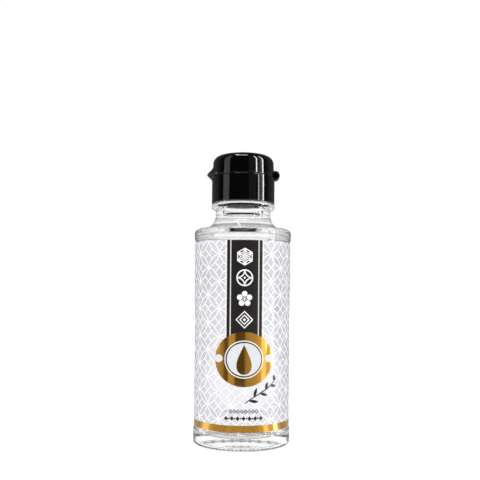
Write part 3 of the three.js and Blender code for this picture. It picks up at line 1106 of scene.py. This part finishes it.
def build_flourish():
    black = ink("black ink")
    bends = [(0.6, 20.7), (3.2, 22.6), (6.6, 24.6), (10.2, 26.6), (13.2, 28.8), (15.4, 31.2)]
    stem = curve_through(bends, 8)
    shapes = [stroke(stem, 0.46, taper=0.35)]
    for index, place_on_stem in enumerate(range(5, 36, 6)):
        s, z = stem[place_on_stem]
        ahead = stem[place_on_stem + 1]
        run = math.atan2(ahead[1] - z, ahead[0] - s)
        side = 1 if index % 2 else -1
        shapes.append(leaf(s, z, run + side * 0.75, 4.4 - 0.34 * index, 0.62))
    sprig = printed("sprig_print", shapes, 0.09 * MM, 0.02 * MM, black, step=0.6 * MM)
    rows = lozenge_row(17.2, 5.6, 0.8, 8, 0.38) + bead_row(14.2, 1.27)
    marks = printed("small_rows", rows, 0.03 * MM, 0.02 * MM, black, step=0.6 * MM)


# Row of open lozenges, with a short dash at each end
def lozenge_row(height, half_width, size, total, width):
    shapes = []
    for index in range(total):
        s = -half_width + 2 * half_width * index / (total - 1)
        shapes.append(stroke(circle_path(s, height, size * 0.8, size, 4), width, closed=True))
    for middle in (7.9, -7.9):
        shapes.append(rectangle(middle - 0.55, middle + 0.55, height - 0.1, height + 0.1))
    return shapes


# Row of filled lozenges with a dot between each two
def bead_row(height, pitch):
    shapes = []
    for index in range(-6, 7):
        lozenge = index % 2 == 0
        wide, tall, sides = (0.85, 1.0, 4) if lozenge else (0.36, 0.36, 12)
        shapes.append(disc(index * pitch, height, wide, tall, sides))
    return shapes


# Cap
# How far a wall stands out where it runs smoothly into a wider form
def smooth_extra(base, other, blend):
    near = max(blend - abs(base - other), 0) / blend
    return max(base, other) + near * near * blend / 4 - base


# The tab is a lens set off centre, which narrows above and below its sharp rim
def tab_radius(cap, angle, height):
    rise = 3.2 * MM
    drop = 2.6 * MM
    lip = 0.22 * MM
    top_radius = 6.6 * MM
    foot_radius = 6.9 * MM
    above = height - cap.tab_tip
    run = max(abs(above) - lip, 0)
    end_radius, depth = (top_radius, rise) if above > 0 else (foot_radius, drop)
    plan = cap.tab_radius - run * (cap.tab_radius - end_radius) / (depth - lip)
    offset = cap.tab_reach - cap.tab_radius
    along = -offset * math.cos(angle)
    inside = along**2 - offset**2 + plan**2
    return along + math.sqrt(inside) if inside > 0 and plan > 0 else 0.0


def lid_wall(cap, height):
    top = cap.lid_rim - cap.lid_round
    part = min(max((height - cap.seam) / (top - cap.seam), 0), 1)
    return cap.lid_seam_radius + (cap.lid_top_radius - cap.lid_seam_radius) * part


def build_cap():
    glass, _, cap, _ = settings()
    lid_black = kept("black plastic lid", lambda: plastic_material("black plastic lid", 0.004 * MM))
    base_black = kept("black plastic base", lambda: plastic_material("black plastic base", 0.03 * MM))
    blend = 0.5 * MM
    clear = 0.25 * MM
    tab_zone = 4 * MM
    half_gap = cap.seam_gap / 2
    edge = cap.edge_round

    def base_swell(angle, radius, height):
        if radius < cap.radius - 1 * MM or height < cap.seam - tab_zone:
            return 0
        return smooth_extra(cap.radius, tab_radius(cap, angle, height), blend)

    def lid_swell(angle, radius, height):
        wall = lid_wall(cap, height)
        if radius < wall - 1 * MM or height > cap.lid_rim - cap.lid_round:
            return 0
        return smooth_extra(wall, tab_radius(cap, angle, height), blend)

    bore = glass.finish_radius + clear
    chamfer = 0.2 * MM
    top = cap.seam - half_gap
    fine = 0.12 * MM
    rows = int((top - edge - (cap.seam - tab_zone)) / fine)
    base_profile = [(0, cap.deck), (bore, cap.deck)]
    base_profile += [(bore, cap.bottom + chamfer), (bore + chamfer, cap.bottom)]
    base_profile += arc(cap.radius - edge, cap.bottom + edge, edge, -90, 0, 5)
    base_profile += [(cap.radius, cap.seam - tab_zone + fine * row) for row in range(rows + 1)]
    base_profile += arc(cap.radius - edge, top - edge, edge, 0, 90, 5) + [(0, top)]
    base = turned("cap_base_shell", base_profile, base_black, sides=256, swell=base_swell)
    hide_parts("cap_base")
    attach(base, BODY)

    low = cap.seam + half_gap
    wall_top = cap.lid_rim - cap.lid_round
    rows = int((cap.tab_tip + tab_zone - low - edge) / fine)
    lid_profile = [(0, low)] + arc(cap.lid_seam_radius - edge, low + edge, edge, -90, 0, 5)
    for row in range(rows + 1):
        height = low + edge + fine * (row + 1)
        lid_profile.append((lid_wall(cap, height), height))
    lid_profile += arc(cap.lid_top_radius - cap.lid_round, wall_top, cap.lid_round, 0, 88, 18)
    crown = bowl(cap.lid_top_radius - cap.lid_round, cap.lid_rim, cap.lid_crown, 8)
    lid_profile += reversed(crown[:-1])
    lid = turned("cap_lid_shell", lid_profile, lid_black, sides=256, swell=lid_swell)
    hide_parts("cap_lid")
    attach(lid, BODY)
    build_hinge(cap, lid_black)


# Hinge: a strap bent into a loop that runs into lid and base, with a web across the middle of the loop
def build_hinge(cap, material):
    centre = cap.hinge_reach - cap.hinge_radius
    half = cap.hinge_width / 2
    web = cap.hinge_web / 2
    soft = 0.44 * MM
    sides = 48
    outer, bore = cap.hinge_radius, cap.hinge_bore
    corner = soft * 0.3
    section = [(0, -web), (bore, -web)]
    section += [(bore, soft - half), (bore + corner, corner - half), (bore + soft, -half)]
    section += [(outer - soft, -half), (outer - corner, corner - half), (outer, soft - half)]
    section += [(radius, -y) for radius, y in reversed(section)]
    hinge = turned("cap_hinge_strap", section, material, sides=sides, sharp=40)
    for vertex in hinge.data.vertices:
        x, z, y = vertex.co
        vertex.co = Vector((centre + x, y, cap.hinge_height + z))
    finish_mesh(hinge.data, material, 40)
    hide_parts("cap_hinge")
    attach(hinge, BODY)


# Stage: what a mirror, refracted light and the camera see differs, as in a studio with screens and flags
def mirror_mask(tree, path):
    glossy = path["Is Glossy Ray"]
    return math_node(tree, "SUBTRACT", glossy, path["Is Transmission Ray"], clamp=True)


def ring_light(tree, x, y):
    turn = math_node(tree, "ARCTAN2", x, math_node(tree, "MULTIPLY", y, -1.0))
    spot = mapped(tree, turn, -math.pi, math.pi, 0.0, 1.0, smooth=False)
    ramp = add(tree, "ShaderNodeValToRGB", {"Fac": spot})
    stops = ramp.color_ramp.elements
    while len(stops) < len(STUDIO_RING):
        stops.new(0.5)
    for stop, (azimuth, strength) in zip(stops, STUDIO_RING):
        stop.position = (azimuth + 180) / 360
        stop.color = rgba((strength / RING_PEAK,) * 3)
    return math_node(tree, "MULTIPLY", ramp.outputs["Color"], RING_PEAK)


def floor_material():
    studio = settings()[3]
    material, tree, shader = new_material("pale floor")
    where = object_place(tree)
    noise = add(tree, "ShaderNodeTexNoise", {"Vector": where, "Scale": 6.0, "Detail": 3.0})
    pale = rgba([c * 0.985 for c in studio.floor_colour])
    shade = blended(tree, mapped(tree, noise.outputs["Fac"], 0.4, 0.6), pale, rgba(studio.floor_colour))
    path = add(tree, "ShaderNodeLightPath").outputs
    lit = math_node(tree, "MULTIPLY", path["Is Camera Ray"], 0.42)
    set_shader(shader, Base_Color=shade, Emission_Color=shade, Emission_Strength=lit)
    set_shader(shader, Roughness=0.9, Specular_IOR_Level=0.1)
    away = add(tree, "ShaderNodeVectorMath", {0: where}, operation="LENGTH").outputs["Value"]
    direction = add(tree, "ShaderNodeVectorMath", {0: where}, operation="NORMALIZE").outputs[0]
    split = split_vector(tree, direction)
    ring = ring_light(tree, split["X"], split["Y"])
    close = mapped(tree, away, 0.08, 0.3, 0.4, 0.05)
    glow = add(tree, "ShaderNodeEmission", {"Strength": math_node(tree, "MAXIMUM", ring, close)})
    mirrored = mirror_mask(tree, path)
    mixed = add(tree, "ShaderNodeMixShader", {0: mirrored, 1: shader.outputs[0], 2: glow.outputs[0]})
    beside = math_node(tree, "ABSOLUTE", split["X"])
    flags = mapped(tree, beside, SIDE_DIM_START, SIDE_DIM_END, 1.0, 0.8)
    ahead = mapped(tree, split["Y"], -0.6, -0.1, 1.14, 1.2)
    open_side = math_node(tree, "MULTIPLY", flags, ahead)
    near = mapped(tree, away, 0.03, 0.12, 1.0, 0.0)
    # Painted shadow: refracted rays see the floor's glow at 0.7 under the bottle's foot, a contact shadow in
    # the glow
    below = mapped(tree, away, 0.018, 0.022, 0.7, 1.0)
    lit_floor = math_node(tree, "MULTIPLY", math_node(tree, "MAXIMUM", open_side, near), below)
    bright = add(tree, "ShaderNodeEmission", {"Strength": lit_floor})
    through = add(tree, "ShaderNodeMixShader", {
        0: path["Is Transmission Ray"], 1: mixed.outputs[0], 2: bright.outputs[0],
    })
    tree.links.new(through.outputs[0], tree.nodes["Material Output"].inputs["Surface"])
    return material


def build_floor():
    sides = 96
    reach = 6.0
    verts = [(0, 0, 0)]
    rings = (0.05, 0.2, 0.8, 2.5, reach)
    for radius in rings:
        angles = [2 * math.pi * i / sides for i in range(sides)]
        verts += [(radius * math.cos(angle), radius * math.sin(angle), 0) for angle in angles]
    faces = [[0, 1 + i, 1 + (i + 1) % sides] for i in range(sides)]
    for ring in range(len(rings) - 1):
        a, b = 1 + ring * sides, 1 + (ring + 1) * sides
        faces += [[a + i, b + i, b + (i + 1) % sides, a + (i + 1) % sides] for i in range(sides)]
    mesh = bpy.data.meshes.new("studio_floor")
    mesh.from_pydata(verts, [], faces)
    mesh.materials.append(floor_material())
    floor = bpy.data.objects.new("studio_floor", mesh)
    bpy.context.scene.collection.objects.link(floor)


# Screen that shows in mirrors only and faces the point that it is aimed at
def build_screen(name, where, aim, width, height, radiance):
    light = bpy.data.lights.new(name, "AREA")
    light.shape = "RECTANGLE"
    light.size = width
    light.size_y = height
    light.energy = radiance * math.pi * width * height
    lamp = bpy.data.objects.new(name, light)
    bpy.context.scene.collection.objects.link(lamp)
    lamp.location = where
    lamp.rotation_euler = (Vector(aim) - Vector(where)).to_track_quat("-Z", "Y").to_euler()
    lamp.visible_transmission = False
    lamp.visible_diffuse = False


def build_upright(name, azimuth, distance, low, high, width, radiance):
    angle = math.radians(azimuth)
    middle = (low + high) / 2
    where = (distance * math.sin(angle), -distance * math.cos(angle), middle)
    build_screen(name, where, (0, 0, middle), width, high - low, radiance)


def build_lights():
    build_upright("strip far right", 77, 0.6, -0.2, 0.8, 0.05, 12)
    build_upright("strip lid right", 50, 0.6, 0.26, 0.9, 0.045, 12)
    build_upright("strip right", 57, 0.6, -0.2, 0.25, 0.04, 5)
    build_upright("soft right", 70, 0.62, -0.2, 0.9, 0.12, 0.65)
    build_upright("dim right", 59, 0.62, -0.2, 0.9, 0.1, 0.25)
    build_upright("dim front right", 34, 0.62, 0.1, 0.9, 0.3, 0.08)
    build_upright("soft left", -64, 0.6, -0.2, 0.9, 0.26, 0.6)
    lid = (0, 0, 0.1)
    build_screen("overhead", (-0.05, -0.25, 0.75), lid, 0.36, 0.1, 9)
    build_screen("overhead left", (-0.17, -0.09, 0.75), lid, 0.1, 0.1, 8)


def build_world():
    world = bpy.data.worlds.new("white studio")
    bpy.context.scene.world = world
    world.use_nodes = True
    world.cycles.sampling_method = "NONE"
    tree = world.node_tree
    back = tree.nodes["Background"]
    path = add(tree, "ShaderNodeLightPath").outputs
    direction = split_vector(tree, add(tree, "ShaderNodeTexCoord").outputs["Generated"])
    side = mapped(tree, math_node(tree, "ABSOLUTE", direction["X"]), SIDE_DIM_START, SIDE_DIM_END)
    level = mapped(tree, math_node(tree, "ABSOLUTE", direction["Z"]), 0.2, 0.35, 1.0, 0.0)
    flags = mapped(tree, math_node(tree, "MULTIPLY", side, level), 0.0, 1.0, 1.0, 0.05, smooth=False)
    ahead = mapped(tree, direction["Y"], -0.6, -0.1, 0.95, 1.0)
    seen_through = math_node(tree, "MULTIPLY", flags, ahead)
    through = math_node(tree, "MULTIPLY", path["Is Transmission Ray"], seen_through)
    behind = mapped(tree, direction["Y"], -0.1, 0.5, 0.006, 0.12)
    glossy = math_node(tree, "MULTIPLY", mirror_mask(tree, path), behind)
    diffuse = math_node(tree, "MULTIPLY", path["Is Diffuse Ray"], 1.25)
    strength = path["Is Camera Ray"]
    for part in (through, glossy, diffuse):
        strength = math_node(tree, "ADD", strength, part)
    back.inputs["Color"].default_value = (1.0, 1.0, 1.0, 1.0)
    tree.links.new(strength, back.inputs["Strength"])


def build_camera():
    studio = settings()[3]
    horizon_row = 299.3
    axis_column = 242.3
    middle = 240
    frame_size = 480
    data = bpy.data.cameras.new("photo camera")
    data.lens = studio.lens
    data.sensor_width = 36
    data.clip_start = 0.01
    data.shift_x = -(axis_column - middle) / frame_size
    data.shift_y = (horizon_row - middle) / frame_size
    camera = bpy.data.objects.new("photo camera", data)
    bpy.context.scene.collection.objects.link(camera)
    camera.location = (0, -studio.camera_distance, studio.camera_height)
    camera.rotation_euler = (math.radians(90), -studio.roll, 0)
    bpy.context.scene.camera = camera


def set_view():
    scene = bpy.context.scene
    scene.view_settings.view_transform = "Standard"
    scene.cycles.max_bounces = 48
    scene.cycles.transmission_bounces = 40
    scene.cycles.transparent_max_bounces = 32
    scene.cycles.glossy_bounces = 32


# Operators
class BOTTLE_OT_glass(bpy.types.Operator):
    """Builds the glass bottle and the ridges on its foot"""
    bl_idname = "bottle.glass"
    bl_label = "Glass"

    def execute(self, context):
        build_glass()
        return {"FINISHED"}


class BOTTLE_OT_sauce(bpy.types.Operator):
    """Fills the bottle with clear sauce"""
    bl_idname = "bottle.sauce"
    bl_label = "Sauce"

    def execute(self, context):
        build_sauce()
        return {"FINISHED"}


class BOTTLE_OT_film(bpy.types.Operator):
    """Wraps the film label round the bottle and prints its lattice"""
    bl_idname = "bottle.film"
    bl_label = "Film and lattice"

    def execute(self, context):
        build_film()
        build_lattice()
        return {"FINISHED"}


class BOTTLE_OT_print(bpy.types.Operator):
    """Prints the strip, medallion, band, flourish and small marks"""
    bl_idname = "bottle.print"
    bl_label = "Printed fields"

    def execute(self, context):
        build_strip()
        build_medallion()
        build_band()
        build_flourish()
        return {"FINISHED"}


class BOTTLE_OT_cap(bpy.types.Operator):
    """Builds the cap's base, lid and hinge"""
    bl_idname = "bottle.cap"
    bl_label = "Flip-top cap"

    def execute(self, context):
        build_cap()
        return {"FINISHED"}


class BOTTLE_OT_stage(bpy.types.Operator):
    """Sets the floor, lights, world and camera"""
    bl_idname = "bottle.stage"
    bl_label = "Studio"

    def execute(self, context):
        build_floor()
        build_lights()
        build_world()
        build_camera()
        set_view()
        return {"FINISHED"}


OPERATORS = (
    BOTTLE_OT_glass,
    BOTTLE_OT_sauce,
    BOTTLE_OT_film,
    BOTTLE_OT_print,
    BOTTLE_OT_cap,
    BOTTLE_OT_stage,
)


class BOTTLE_PT_panel(bpy.types.Panel):
    """Lists the bottle's pieces"""
    bl_idname = "BOTTLE_PT_panel"
    bl_label = "Soy sauce bottle"
    bl_space_type = "VIEW_3D"
    bl_region_type = "UI"
    bl_category = "Bottle"

    def draw(self, context):
        for operator in OPERATORS:
            self.layout.operator(operator.bl_idname)


GROUPS = {
    "bottle_glass": BottleGlassSettings,
    "bottle_label": BottleLabelSettings,
    "bottle_cap": BottleCapSettings,
    "bottle_studio": BottleStudioSettings,
}
CLASSES = tuple(GROUPS.values()) + OPERATORS + (BOTTLE_PT_panel,)


def register():
    for item in CLASSES:
        bpy.utils.register_class(item)
    for name, group in GROUPS.items():
        setattr(bpy.types.Scene, name, bpy.props.PointerProperty(type=group))


def unregister():
    for name in GROUPS:
        delattr(bpy.types.Scene, name)
    for item in reversed(CLASSES):
        bpy.utils.unregister_class(item)


def main():
    register()
    bpy.ops.bottle.stage()
    bpy.ops.bottle.glass()
    bpy.ops.bottle.sauce()
    bpy.ops.bottle.film()
    bpy.ops.bottle.print()
    bpy.ops.bottle.cap()


if __name__ == "__main__":
    main()
